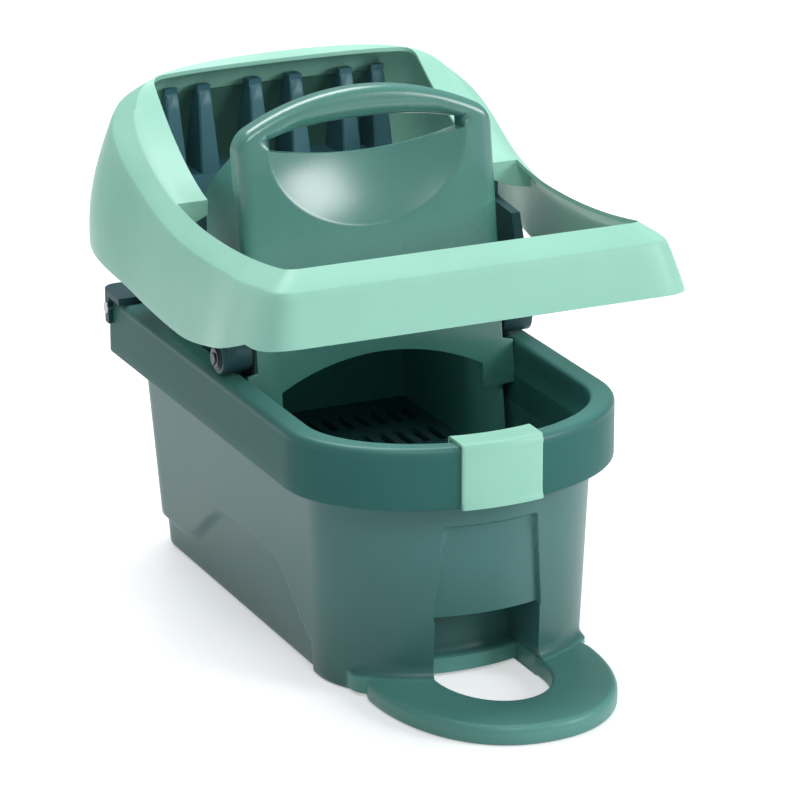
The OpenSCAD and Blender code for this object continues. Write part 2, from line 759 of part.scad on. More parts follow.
module thrust_washer(side) {
    color(steel) at_side(side) difference() {
        bar_x(pin_r + 4, boss_x[1] + 0.2, boss_x[1] + 0.2 + washer_t, 0, pivot_z);
        bar_x(pin_r + run, boss_x[1] - 1, boss_x[1] + 3, 0, pivot_z);
    }
}

module retaining_ring(side) {
    color(steel) at_side(side) difference() {
        bar_x(pin_r + 3, ring_x + 0.1, ring_x + 1.1, 0, pivot_z);
        bar_x(pin_r - 0.7, ring_x - 1, ring_x + 3, 0, pivot_z);
        box([ring_x - 1, -pin_r*0.6, pivot_z - pin_r*3], [ring_x + 3, pin_r*0.6, pivot_z - pin_r*0.5]);
    }
}

module arm_screws() {
    color(steel) both_sides() for (s = arm_screw) {
        bar_x(screw_r, arm_x[0] - 0.1, arm_x[1] + 5, s[0], s[1], 32);
        bar_x(3.6, arm_x[0] - 2.2, arm_x[0], s[0], s[1], 32);
    }
}

module bracket_rivets() {
    color(steel) both_sides() for (r = rivet_place) {
        bar_x(rivet_r, cheek_x[0] - 0.1, bracket_x[1] + 0.1, r[0], pivot_z + r[1], 32);
        bar_x(rivet_r + 1.2, bracket_x[1], bracket_x[1] + 0.8, r[0], pivot_z + r[1], 32);
        bar_x(rivet_r + 1.2, cheek_x[0] - 0.8, cheek_x[0], r[0], pivot_z + r[1], 32);
    }
}

bucket();
rim_clip();
lever();
press_jaw();
press_plate();
basket();
rear_yoke();
drain_grate();
pivot_arm(-1);  // pivot_arm_left
pivot_arm(1);  // pivot_arm_right
pivot_bracket(-1);  // pivot_bracket_left
pivot_bracket(1);  // pivot_bracket_right
pivot_pin(-1);  // pivot_pin_left
pivot_pin(1);  // pivot_pin_right
pivot_bush(-1);  // pivot_bush_left
pivot_bush(1);  // pivot_bush_right
thrust_washer(-1);  // thrust_washer_left
thrust_washer(1);  // thrust_washer_right
retaining_ring(-1);  // retaining_ring_left
retaining_ring(1);  // retaining_ring_right
arm_screws();
jaw_screws();
plate_screws();
bracket_rivets();
yoke_screws();
lock_pin(-1);  // lock_pin_left
lock_pin(1);  // lock_pin_right
stop_buffers();
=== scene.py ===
"""Mop bucket with a lever press wringer: the looks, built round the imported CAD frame.

Lengths in this file are millimetres, and piece() turns them into metres.
X is the width, -Y the front, +Y the rear and Z up, with the origin on the floor under the rim's middle.
"""
import json
import math

import bmesh
import bpy
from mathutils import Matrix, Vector


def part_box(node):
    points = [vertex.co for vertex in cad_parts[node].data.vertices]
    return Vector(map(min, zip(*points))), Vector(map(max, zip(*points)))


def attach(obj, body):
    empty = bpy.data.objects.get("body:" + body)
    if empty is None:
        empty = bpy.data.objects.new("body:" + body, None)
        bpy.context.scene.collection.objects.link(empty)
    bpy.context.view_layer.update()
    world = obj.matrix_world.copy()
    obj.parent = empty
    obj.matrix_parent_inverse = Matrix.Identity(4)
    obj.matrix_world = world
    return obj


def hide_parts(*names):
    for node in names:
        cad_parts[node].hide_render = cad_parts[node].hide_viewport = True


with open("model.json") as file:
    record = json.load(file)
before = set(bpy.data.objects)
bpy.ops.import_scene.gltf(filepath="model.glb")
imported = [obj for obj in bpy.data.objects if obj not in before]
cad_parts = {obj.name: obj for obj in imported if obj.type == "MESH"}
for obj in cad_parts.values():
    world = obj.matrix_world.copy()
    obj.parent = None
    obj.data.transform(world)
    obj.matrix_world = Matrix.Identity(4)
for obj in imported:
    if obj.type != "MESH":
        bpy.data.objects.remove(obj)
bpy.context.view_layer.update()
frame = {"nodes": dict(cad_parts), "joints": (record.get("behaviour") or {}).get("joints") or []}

MM = 0.001


# ---------------------------------------------------------------- sizes

def corners(node):
    """A CAD node's lowest and highest corners, in millimetres."""
    low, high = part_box(node)
    return low / MM, high / MM


bucket_low, bucket_high = corners("bucket")
hinge = next(j for j in frame["joints"] if j["name"] == "lever_hinge")

RIM_H = bucket_high.z
HALF_W = bucket_high.x
HALF_L = bucket_high.y
PIVOT_Z = hinge["pos_m"][2] / MM
NOSE_Y = HALF_L - 90
SKIRT_H = 44
FLANGE_W = 18
WALL = 3
FLOOR_T = 4
DRAFT_SIDE = 9
DRAFT_END = 8
FRONT_OUT = 4
TOP_IN = FLANGE_W - WALL
FOOT_Y = -(HALF_L - TOP_IN + FRONT_OUT - DRAFT_END)
TOE_W, TOE_H, TOE_D = 40, 57, 40
PANEL_H, PANEL_D = 124, 4
LOOP_W, LOOP_L, LOOP_T = 85, 114, 14
HOLE_L = 53


def ramp(t):
    """0 below 0, 1 above 1, and a soft step between."""
    t = min(max(t, 0.0), 1.0)
    return (1 - math.cos(math.pi * t)) / 2


def mix(a, b, t):
    """The value a share t of the way from a to b."""
    return a + (b - a) * t


def steps(a, b, n):
    """n + 1 values from a to b."""
    return [a + (b - a) * i / n for i in range(n + 1)]


# ---------------------------------------------------------------- meshes

SMOOTH_ANGLE = 40
WELD_M = 0.00001


def piece(name, verts, faces, material, body, replaced=()):
    """A mesh object from points in millimetres, riding on a CAD body."""
    mesh = bpy.data.meshes.new(name)
    mesh.from_pydata([tuple(c * MM for c in v) for v in verts], [], faces)
    mesh.validate()
    bm = bmesh.new()
    bm.from_mesh(mesh)
    bmesh.ops.remove_doubles(bm, verts=bm.verts, dist=WELD_M)
    bmesh.ops.recalc_face_normals(bm, faces=bm.faces)
    bm.to_mesh(mesh)
    bm.free()
    obj = bpy.data.objects.new(name, mesh)
    bpy.context.scene.collection.objects.link(obj)
    mesh.shade_smooth()
    mesh.set_sharp_from_angle(angle=math.radians(SMOOTH_ANGLE))
    mesh.materials.append(material)
    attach(obj, body)
    if replaced:
        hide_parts(*replaced)
    return obj


class Shape:
    """Points and faces gathered from several closed forms."""

    def __init__(self):
        self.verts = []
        self.faces = []

    def add(self, verts, faces):
        """Adds points, and faces that count those points from 0."""
        first = len(self.verts)
        self.verts += verts
        self.faces += [tuple(first + i for i in f) for f in faces]

    def loft(self, rings, wrap=False):
        """Joins closed rings of as many points each; the ends are capped, or joined if wrap is set."""
        n = len(rings[0])
        verts = [p for ring in rings for p in ring]
        pairs = list(zip(range(len(rings)), range(1, len(rings))))
        if wrap:
            pairs.append((len(rings) - 1, 0))
        faces = [(a * n + i, a * n + (i + 1) % n, b * n + (i + 1) % n, b * n + i)
                 for a, b in pairs for i in range(n)]
        if not wrap:
            faces.append(tuple(range(n)))
            faces.append(tuple((len(rings) - 1) * n + i for i in range(n)))
        self.add(verts, faces)

    def sheet(self, grid):
        """Joins a grid of points, given as rows of the same length."""
        n = len(grid[0])
        verts = [p for row in grid for p in row]
        faces = [(r * n + c, (r + 1) * n + c, (r + 1) * n + c + 1, r * n + c + 1)
                 for r in range(len(grid) - 1) for c in range(n - 1)]
        self.add(verts, faces)

    def prism(self, outline, place, low, high, edge=1.2):
        """An outline of (a, b) drawn from low to high, its edges rounded; place(a, b, c) makes the point."""
        rings = []
        for inset, c in round_edges(low, high, edge):
            rings.append([place(a, b, c) for a, b in inset_outline(outline, inset)])
        self.loft(rings)


def round_edges(low, high, r):
    """(inset, height) pairs of a slab whose two edges are rounded by r."""
    angles = [math.pi / 2 * (1 - i / 3) for i in range(4)]
    up = [(r - r * math.sin(a), high - r + r * math.cos(a)) for a in angles]
    down = [(inset, low + high - c) for inset, c in reversed(up)]
    return down + up


def inset_outline(points, d):
    """A closed outline moved inwards by d along its own normals; it runs anticlockwise."""
    if d == 0:
        return list(points)
    out = []
    n = len(points)
    for i in range(n):
        a, p, b = points[i - 1], points[i], points[(i + 1) % n]
        e1 = Vector((p[0] - a[0], p[1] - a[1])).normalized()
        e2 = Vector((b[0] - p[0], b[1] - p[1])).normalized()
        n1, n2 = Vector((-e1.y, e1.x)), Vector((-e2.y, e2.x))
        m = n1 + n2
        k = d / max(0.35, 1 + n1.dot(n2))
        out.append((p[0] + m.x * k, p[1] + m.y * k))
    return out


def arc(cx, cy, r, a0, a1, n):
    """Points of an arc, with angles in degrees."""
    turns = [math.radians(a) for a in steps(a0, a1, n)]
    return [(cx + r * math.cos(a), cy + r * math.sin(a)) for a in turns]


# ---------------------------------------------------------------- materials

def srgb(hex_colour):
    """A linear colour from a hex one."""
    parts = [int(hex_colour[i:i + 2], 16) / 255 for i in (1, 3, 5)]
    return tuple(c / 12.92 if c <= 0.04045 else ((c + 0.055) / 1.055) ** 2.4 for c in parts) + (1,)


def noise(nodes, links, coords, scale, detail):
    """A noise texture in the object's own coordinates."""
    tex = nodes.new("ShaderNodeTexNoise")
    tex.inputs["Scale"].default_value = scale
    tex.inputs["Detail"].default_value = detail
    links.new(coords.outputs["Object"], tex.inputs["Vector"])
    return tex


def plastic(name, colour, dark, rough, grain=900, bump=0.072, sheen=0.5):
    """Moulded plastic: slow colour drift, mould texture bump mm deep, and roughness that varies a little."""
    mat = bpy.data.materials.new(name)
    mat.use_nodes = True
    nodes, links = mat.node_tree.nodes, mat.node_tree.links
    shader = nodes["Principled BSDF"]
    coords = nodes.new("ShaderNodeTexCoord")
    drift = noise(nodes, links, coords, 18, 3)
    ramp_node = nodes.new("ShaderNodeValToRGB")
    ramp_node.color_ramp.interpolation = "EASE"
    ramp_node.color_ramp.elements[0].position = 0.2
    ramp_node.color_ramp.elements[0].color = srgb(dark)
    ramp_node.color_ramp.elements[1].position = 0.8
    ramp_node.color_ramp.elements[1].color = srgb(colour)
    links.new(drift.outputs["Fac"], ramp_node.inputs["Fac"])
    links.new(ramp_node.outputs["Color"], shader.inputs["Base Color"])
    fine = noise(nodes, links, coords, grain, 2)
    span = nodes.new("ShaderNodeMapRange")
    span.inputs["To Min"].default_value = rough - 0.04
    span.inputs["To Max"].default_value = rough + 0.05
    links.new(drift.outputs["Fac"], span.inputs["Value"])
    links.new(span.outputs["Result"], shader.inputs["Roughness"])
    bump_node = nodes.new("ShaderNodeBump")
    bump_node.inputs["Strength"].default_value = 0.25
    bump_node.inputs["Distance"].default_value = bump * MM
    links.new(fine.outputs["Fac"], bump_node.inputs["Height"])
    links.new(bump_node.outputs["Normal"], shader.inputs["Normal"])
    shader.inputs["IOR"].default_value = 1.49
    shader.inputs["Specular IOR Level"].default_value = sheen
    return mat


def set_stops(color_ramp, stops):
    """Fills a colour ramp with (position, colour) pairs in rising order."""
    color_ramp.elements.remove(color_ramp.elements[1])
    color_ramp.elements[0].position = stops[0][0]
    color_ramp.elements[0].color = stops[0][1]
    for at, colour in stops[1:]:
        color_ramp.elements.new(at).color = colour


def bucket_green(name):
    """The bucket's plastic in height bands: the foot loop and the rim's top are painted lighter, as painted
    light on faces that catch the lamps; the tub is greyer and a little lighter towards the rim, and the rim's
    skirt a deeper tone.
    """
    mat = plastic(name, "#FFFFFF", "#F2F4F3", 0.36)
    nodes, links = mat.node_tree.nodes, mat.node_tree.links
    shader = nodes["Principled BSDF"]
    drift = shader.inputs["Base Color"].links[0].from_socket
    place = nodes.new("ShaderNodeNewGeometry")
    split = nodes.new("ShaderNodeSeparateXYZ")
    links.new(place.outputs["Position"], split.inputs["Vector"])
    height = nodes.new("ShaderNodeMapRange")
    height.inputs["From Max"].default_value = RIM_H * MM
    links.new(split.outputs["Z"], height.inputs["Value"])
    # behind the loop the height counts as above it, so that the tub's foot keeps the tub's colour
    behind_loop = nodes.new("ShaderNodeMapRange")
    behind_loop.inputs["From Min"].default_value = (FOOT_Y + 18) * MM
    behind_loop.inputs["From Max"].default_value = (FOOT_Y + 42) * MM
    behind_loop.inputs["To Max"].default_value = (LOOP_T + 2) / RIM_H
    links.new(split.outputs["Y"], behind_loop.inputs["Value"])
    level = nodes.new("ShaderNodeMath")
    level.operation = "MAXIMUM"
    links.new(height.outputs["Result"], level.inputs[0])
    links.new(behind_loop.outputs["Result"], level.inputs[1])
    # painted light: the foot loop's band and the rim's top band are lighter than the tub between them
    bands = nodes.new("ShaderNodeValToRGB")
    skirt_low = (RIM_H - SKIRT_H - 2) / RIM_H
    skirt_high = (RIM_H - SKIRT_H - 0.5) / RIM_H
    stops = [(0.0, "#5E9C93"), ((LOOP_T - 0.5) / RIM_H, "#5E9C93"), ((LOOP_T + 1.0) / RIM_H, "#40706D"),
             (skirt_low, "#467B78"), (skirt_high, "#396E6A"), (0.975, "#396E6A"), (1.0, "#4C827C")]
    set_stops(bands.color_ramp, [(at, srgb(colour)) for at, colour in stops])
    links.new(level.outputs["Value"], bands.inputs["Fac"])
    tone_and_painted_light = nodes.new("ShaderNodeMix")
    tone_and_painted_light.data_type = "RGBA"
    tone_and_painted_light.blend_type = "MULTIPLY"
    tone_and_painted_light.inputs["Factor"].default_value = 1.0
    links.new(drift, tone_and_painted_light.inputs["A"])
    links.new(bands.outputs["Color"], tone_and_painted_light.inputs["B"])
    links.new(tone_and_painted_light.outputs["Result"], shader.inputs["Base Color"])
    gloss = nodes.new("ShaderNodeValToRGB")
    sheens = [(skirt_low, 0.35), (skirt_high, 0.06), (0.96, 0.06), (0.985, 0.25)]
    set_stops(gloss.color_ramp, [(at, (sheen, sheen, sheen, 1)) for at, sheen in sheens])
    links.new(height.outputs["Result"], gloss.inputs["Fac"])
    links.new(gloss.outputs["Color"], shader.inputs["Specular IOR Level"])
    return mat


def metal(name, colour, rough):
    """Steel with a mottled colour and roughness."""
    mat = bpy.data.materials.new(name)
    mat.use_nodes = True
    nodes, links = mat.node_tree.nodes, mat.node_tree.links
    shader = nodes["Principled BSDF"]
    shader.inputs["Metallic"].default_value = 1.0
    coords = nodes.new("ShaderNodeTexCoord")
    mottle = noise(nodes, links, coords, 260, 4)
    span = nodes.new("ShaderNodeMapRange")
    span.inputs["To Min"].default_value = rough - 0.1
    span.inputs["To Max"].default_value = rough + 0.12
    links.new(mottle.outputs["Fac"], span.inputs["Value"])
    links.new(span.outputs["Result"], shader.inputs["Roughness"])
    ramp_node = nodes.new("ShaderNodeValToRGB")
    ramp_node.color_ramp.elements[0].color = tuple(0.45 * c for c in srgb(colour)[:3]) + (1,)
    ramp_node.color_ramp.elements[1].color = srgb(colour)
    links.new(mottle.outputs["Fac"], ramp_node.inputs["Fac"])
    links.new(ramp_node.outputs["Color"], shader.inputs["Base Color"])
    return mat


BUCKET_GREEN = bucket_green("bucket_plastic")
MINT = plastic("mint_plastic", "#9FD8C5", "#99D1BE", 0.34, sheen=0.25)
TEAL = plastic("teal_plastic", "#508D83", "#4B867C", 0.27, sheen=1.0)
BASKET_TEAL = plastic("basket_plastic", "#5C9C93", "#55938B", 0.5, sheen=0.15)
# dark liner colour: painted shade for the inside of the hood between the fins
PAINTED_SHADE_LINER = plastic("painted_shade_liner_plastic", "#4C7468", "#456B60", 0.5, sheen=0.2)
SLATE = plastic("slate_plastic", "#4B7A85", "#44707B", 0.4, sheen=0.35)
DARK_SLATE = plastic("dark_slate_plastic", "#34555A", "#2F4E53", 0.45, sheen=0.2)
GRATE = plastic("grate_plastic", "#3A6065", "#355A5E", 0.6, sheen=0.1)
BLACK = plastic("black_acetal", "#1B1B1C", "#161617", 0.3)
RUBBER = plastic("rubber", "#1D1E1F", "#151617", 0.7, grain=500, bump=0.18)
STEEL = metal("zinc_steel", "#C3C7CA", 0.32)
DARK_STEEL = metal("dark_steel", "#6A7377", 0.45)


# ---------------------------------------------------------------- bucket

FRONT_FLAT = 62


def front_columns():
    """X of the columns in the flat part of the front, closest at the recess's edges."""
    xs = steps(0, TOE_W - 8, 6) + [TOE_W - d for d in (6, 4.4, 3, 2, 1.2, 0.6, 0.2)]
    xs += [TOE_W + d for d in (0, 0.3, 0.8, 1.5, 2.5, 4, 6, 9)] + [TOE_W + 13, FRONT_FLAT - 4]
    return xs


def plan(half_w, front, rear, corner):
    """Closed plan outline, anticlockwise from the right side: the same columns at every level."""
    def front_y(x):
        return -NOSE_Y - (front - NOSE_Y) * math.sqrt(max(0.0, 1 - (x / half_w) ** 2))
    bend = math.degrees(math.acos(FRONT_FLAT / half_w))
    bend_x = [half_w * math.cos(math.radians(a)) for a in steps(0, bend, 22)][1:]
    left_x = [-x for x in reversed(front_columns())] + front_columns()[1:]
    right_x = list(reversed(bend_x))
    outline = [(x, front_y(x)) for x in left_x] + [(x, front_y(x)) for x in right_x]
    outline += [(half_w, y) for y in steps(-NOSE_Y, rear - corner, 84)]
    outline += arc(half_w - corner, rear - corner, corner, 0, 90, 9)[1:]
    outline += [(x, rear) for x in steps(half_w - corner, -half_w + corner, 30)][1:]
    outline += arc(-half_w + corner, rear - corner, corner, 90, 180, 9)[1:]
    outline += [(-half_w, y) for y in steps(rear - corner, -NOSE_Y, 84)][1:]
    outline += [(-x, front_y(x)) for x in bend_x]
    return outline


def tub_plan(z, t):
    """Plan of the tub's outside at height z, moved inwards by t."""
    inward = TOP_IN + t
    low = 1 - z / RIM_H
    return plan(HALF_W - inward - DRAFT_SIDE * low, HALF_L - inward + FRONT_OUT - DRAFT_END * low,
                HALF_L - inward - DRAFT_END * low, 17 + 17 * low)


def rim_plan(out):
    """Plan of the rim's skirt, moved outwards by out."""
    return plan(HALF_W + out, HALF_L + out, HALF_L + out, max(9 + out, 2))


ARCH_H, ARCH_LOW = 66, 22
ARCH_CROWN = (-45, 32)
ARCH_FOOT = (-118, 124)


def arch_z(y):
    """Height of the line above which the side wall stands proud."""
    return ARCH_LOW + (ARCH_H - ARCH_LOW) * (1 - ramp((ARCH_CROWN[0] - y) / (ARCH_CROWN[0] - ARCH_FOOT[0]))
                                             - ramp((y - ARCH_CROWN[1]) / (ARCH_FOOT[1] - ARCH_CROWN[1])))


def arch_inset(y, z):
    """How far the side wall is set back below the arch line; it runs out towards the front."""
    below = ramp((arch_z(y) + 2.5 - z) / 5)
    front_fade = ramp((y - ARCH_FOOT[0] - 4) / 8)
    return 4 * below * front_fade


def toe_push(x, y, z):
    """How far the front wall is pushed back by the toe recess and the shallow panel."""
    if y > -NOSE_Y:
        return 0.0
    recess = ramp((TOE_W - abs(x)) / 1.6) * ramp((TOE_H - z) / 1.6)
    panel_half = mix(TOE_W, TOE_W - 6, (z - TOE_H) / (PANEL_H - TOE_H))
    panel = ramp((panel_half + 1 - abs(x)) / 2.5) * ramp((PANEL_H + 1 - z) / 2.5) * (z > TOE_H - 2)
    return max(recess * TOE_D, panel * PANEL_D)


def wall_ring(z, t, fillet=0.0):
    """One level of the tub's wall, moved inwards by t, with its arch, recess and panel."""
    ring = []
    outline = tub_plan(z, t)
    smooth = inset_outline(outline, 1.0)
    for (x, y), (xi, yi) in zip(outline, smooth):
        nx, ny = xi - x, yi - y
        side = arch_inset(y, z) if y > -NOSE_Y - 30 else 0.0
        out = fillet * ramp((-NOSE_Y - y) / 30) * ramp((LOOP_W + 6 - abs(x)) / 10)
        push = toe_push(x, y, z - t)
        if t and push:
            push = max(push, toe_push(max(abs(x) - t, 0), y, z - t))
        x += nx * (side - out)
        y += ny * (side - out) + push
        ring.append((x, y, z))
    return ring


LOOP_FILLET, FILLET_H = 7, 9


def loop_fillet(z):
    """How far the tub's front swells out at height z, to run into the foot loop."""
    above = z - LOOP_T
    if above <= 0:
        return LOOP_FILLET
    if above >= FILLET_H:
        return 0
    return LOOP_FILLET * (1 - math.sqrt(max(0.0, 1 - (1 - above / FILLET_H) ** 2)))


def build_bucket():
    """Tub, skirt and rim as one closed skin, and the foot loop as a closed band."""
    shape = Shape()
    rings = []
    # underside edge, then the outer wall up to the channel behind the skirt
    base_r = 2.5
    for a in steps(0, 90, 3)[:-1]:
        inset = base_r * (1 - math.sin(math.radians(a)))
        z = base_r * (1 - math.cos(math.radians(a)))
        rings.append([(x, y, z) for x, y, _ in wall_ring(0, inset)])
    levels = steps(base_r, 13.5, 4) + steps(15.5, TOE_H - 2.4, 18)
    levels += [TOE_H + d for d in (-1.8, -1.2, -0.6, 0, 0.8, 2)]
    levels += steps(TOE_H + 4, 82, 9) + steps(88, PANEL_H - 4, 5)
    levels += [PANEL_H + d for d in (-1.4, -0.6, 0.2, 1, 2)]
    levels += [RIM_H - SKIRT_H - 6, RIM_H - SKIRT_H, RIM_H - 20, RIM_H - WALL]
    rings += [wall_ring(z, 0, loop_fillet(z)) for z in levels]
    # skirt: up inside, down to its lower edge, out and up, with rounded edges
    rings.append([(x, y, RIM_H - WALL) for x, y in rim_plan(-WALL)])
    rings.append([(x, y, RIM_H - SKIRT_H + 1) for x, y in rim_plan(-WALL)])
    bottom = RIM_H - SKIRT_H
    for inset, z in ((2.4, 0.2), (1.4, 0), (0.7, 0.3), (0.2, 0.9), (0, 1.8)):
        rings.append([(x, y, bottom + z) for x, y in rim_plan(-inset)])
    for z in steps(bottom + 10, RIM_H - 12, 2):
        rings.append([(x, y, z) for x, y in rim_plan(0)])
    edge = 5.2
    for a in steps(0, 90, 8):
        inset = edge * (1 - math.cos(math.radians(a)))
        z = RIM_H - edge + edge * math.sin(math.radians(a))
        rings.append([(x, y, z) for x, y in rim_plan(-inset)])
    # flat top, rounded down into the inside
    inner = tub_plan(RIM_H, WALL)
    outer = rim_plan(-edge)
    for t in (0.3, 0.7):
        rings.append([(mix(o[0], i[0], t), mix(o[1], i[1], t), RIM_H) for o, i in zip(outer, inner)])
    inner_r = 2.6
    for a in steps(0, 90, 5):
        out = inner_r * (1 - math.sin(math.radians(a)))
        z = RIM_H - inner_r * (1 - math.cos(math.radians(a)))
        rings.append([(x, y, z) for x, y in tub_plan(RIM_H, WALL - out)])
    # inside wall, with a small step under the rim, down to the floor
    ledge, ledge_z = 0.9, RIM_H - 24.5
    for z in [RIM_H - 12, RIM_H - 23, ledge_z, RIM_H - 26, RIM_H - 40] + steps(130, TOE_H + 8, 6):
        rings.append(wall_ring(z, WALL + (ledge if z <= ledge_z else 0.0)))
    for z in [TOE_H + WALL + d for d in (2, 1, 0.2, -0.6)] + steps(TOE_H - 4, FLOOR_T + 12, 8):
        rings.append(wall_ring(z, WALL + ledge))
    floor_r = 9
    for a in steps(0, 90, 5)[1:]:
        z = FLOOR_T + floor_r * (1 - math.sin(math.radians(a)))
        rings.append(wall_ring(z, WALL + ledge + floor_r * (1 - math.cos(math.radians(a)))))
    shape.loft(rings)

    # foot loop: outline and hole as one closed band
    outer_loop, inner_loop = loop_outline(), hole_outline()
    top, loop_r = LOOP_T, 5
    loop_rings = []
    for inset, z in ((2.0, 0.0), (0.8, 0.7), (0, 2.2), (0, top - loop_r)):
        loop_rings.append([(x, y, z) for x, y in inset_outline(outer_loop, inset)])
    for a in steps(15, 90, 5):
        inset = loop_r * (1 - math.cos(math.radians(a)))
        z = top - loop_r + loop_r * math.sin(math.radians(a))
        loop_rings.append([(x, y, z) for x, y in inset_outline(outer_loop, inset)])
    for inset, z in ((-2.5, top), (-0.9, top - 0.5), (0, top - 1.8), (0, 1.0), (-1, 0.0)):
        loop_rings.append([(x, y, z) for x, y in inset_outline(inner_loop, inset)])
    shape.loft(loop_rings, wrap=True)
    return piece("bucket_shell", shape.verts, shape.faces, BUCKET_GREEN, "base", ["bucket"])


LOOP_POINTS, LOOP_ARC = 120, 96


def loop_outline():
    """Foot loop seen from above, closed inside the tub."""
    middle = FOOT_Y + 14
    power = 0.92
    front = []
    for a in (math.pi * i / LOOP_ARC for i in range(LOOP_ARC + 1)):
        c, s = math.cos(a), math.sin(a)
        front.append((LOOP_W * math.copysign(abs(c) ** power, c), middle - LOOP_L * s ** power))
    rear = FOOT_Y + TOE_D + 12
    back = [(x, rear) for x in steps(-LOOP_W + 4, LOOP_W - 4, LOOP_POINTS - LOOP_ARC)][:-1]
    return (front[::-1] + back[::-1])[:LOOP_POINTS]


def hole_outline():
    """The loop's hole: as wide as the toe recess, and open back to the recess's rear wall."""
    front = [(TOE_W * math.cos(math.radians(a)), FOOT_Y + HOLE_L * math.sin(math.radians(a)))
             for a in steps(180, 360, LOOP_ARC)]
    back = [(x, FOOT_Y + TOE_D + 2) for x in steps(TOE_W, -TOE_W, LOOP_POINTS - LOOP_ARC)][:-1]
    return (front + back)[:LOOP_POINTS]


# ---------------------------------------------------------------- rim clip

def build_clip():
    """A snap-on plate over the front rim, with a lip below and a hook inside."""
    low, high = corners("rim_clip")
    gap, thick = 0.3, 2.4
    top, foot = RIM_H + thick, low.z
    section = [(gap, foot + 0.5), (gap, RIM_H + gap), (-FLANGE_W - gap, RIM_H + gap),
               (-FLANGE_W - gap, RIM_H - 9), (-FLANGE_W - gap - 1.2, RIM_H - 9.4),
               (-FLANGE_W - gap - 2.4, RIM_H - 8.6)]
    for a in [math.radians(d) for d in steps(0, 90, 4)]:
        section.append((-FLANGE_W - 2.7 + 2.6 * (1 - math.cos(a)), top - 2.6 + 2.6 * math.sin(a)))
    for a in [math.radians(d) for d in steps(0, 60, 4)]:
        section.append((thick - 3 + 3 * math.sin(a), top - 3 + 3 * math.cos(a)))
    section += [(thick + 0.7, RIM_H - 1.6), (thick + 0.8, RIM_H - 2.6), (thick + 0.4, RIM_H - 3.8),
                (thick, RIM_H - 5), (thick, RIM_H - 20), (thick, foot + 8), (thick + 0.4, foot + 5),
                (thick + 1.4, foot + 3), (thick + 1.9, foot + 1.6), (thick + 1.6, foot + 0.4),
                (thick + 0.6, foot)]
    half = high.x
    ends = (0, 0.3, 1.0, 2)
    xs = [-half + d for d in ends] + steps(-half + 6, half - 6, 14) + [half - d for d in reversed(ends)]
    rings = []
    for x in xs:
        edge = max(0.0, 1.0 - (half - abs(x))) * 0.6
        ring = []
        for out, z in section:
            out_edge = out - edge * (1 if out > 1 else 0)
            hw, fr = HALF_W + out_edge, HALF_L + out_edge
            y = -NOSE_Y - (fr - NOSE_Y) * math.sqrt(1 - (x / hw) ** 2)
            ring.append((x, y, z))
        rings.append(ring)
    shape = Shape()
    shape.loft(rings)
    return piece("rim_clip_shell", shape.verts, shape.faces, MINT, "base", ["rim_clip"])


# ---------------------------------------------------------------- lever

LEVER_W, BOW_L, HOOD_L = 132, 155, 165
LEVER_LOW, HOOD_RISE, BOW_RISE = 296, 66, 13
FLARE, BOW_FLARE, HOOD_FLARE = 26.8, 7, 9
LEVER_BOTTOM = 227.5
LEVER_WALL = 3
BAND_H = 11
LOW_Y, HOOD_Y, BOW_CORNER = -25, 40, 10
SLOT_W, SLOT_FRONT, SLOT_FLARE, SLOT_R = 103, 39.5, 6, 8.0


def edge_z(x, y):
    """Height of the lever's upper inner edge."""
    if y < LOW_Y:
        return LEVER_LOW + BOW_RISE * ((LOW_Y - y) / (BOW_L + LOW_Y)) ** 2
    rise = LEVER_LOW + HOOD_RISE * ((y - LOW_Y) / (HOOD_L + LOW_Y + 41)) ** 2.35
    crown = LEVER_LOW + HOOD_RISE + 7 * (1 - (x / 100) ** 2)
    if abs(rise - crown) >= 60:
        return min(rise, crown)
    blend = 3.0
    return -blend * math.log(math.exp(-rise / blend) + math.exp(-crown / blend))


def foot_z(y):
    """Height of the lever's lower edge."""
    if y < LOW_Y:
        return LEVER_BOTTOM + 35 * ((LOW_Y - y) / (BOW_L + LOW_Y)) ** 1.6
    return LEVER_BOTTOM + 27 * ((y - LOW_Y) / (HOOD_L - LOW_Y)) ** 2


def stand_out(u):
    """Share of the flare reached at depth u below the upper edge; a soft crease ends the top band."""
    band = 0.5 * min(u / BAND_H, 1)
    fall = 0.5 * math.sin(math.radians(90 * min(max(u - BAND_H, 0) / 75, 1)))
    soft = 0.018 * math.exp(-((u - BAND_H) / 2.2) ** 2)
    return band + fall - soft


def flare_at(y):
    """How far the lever's wall flares out at one place along it."""
    return FLARE + BOW_FLARE * ramp((-60 - y) / 60) + HOOD_FLARE * ramp((y - 60) / 90)


def hood_point(a):
    """Point of the hood's rounded rear edge at angle a, with its outward normal."""
    c, s = math.cos(math.radians(a)), math.sin(math.radians(a))
    nx, ny = max(c, 0) ** 1.6 * (HOOD_L - HOOD_Y), s ** 1.6 * LEVER_W
    n = math.hypot(nx, ny)
    return (LEVER_W * max(c, 0) ** 0.4, HOOD_Y + (HOOD_L - HOOD_Y) * s ** 0.4, nx / n, ny / n)


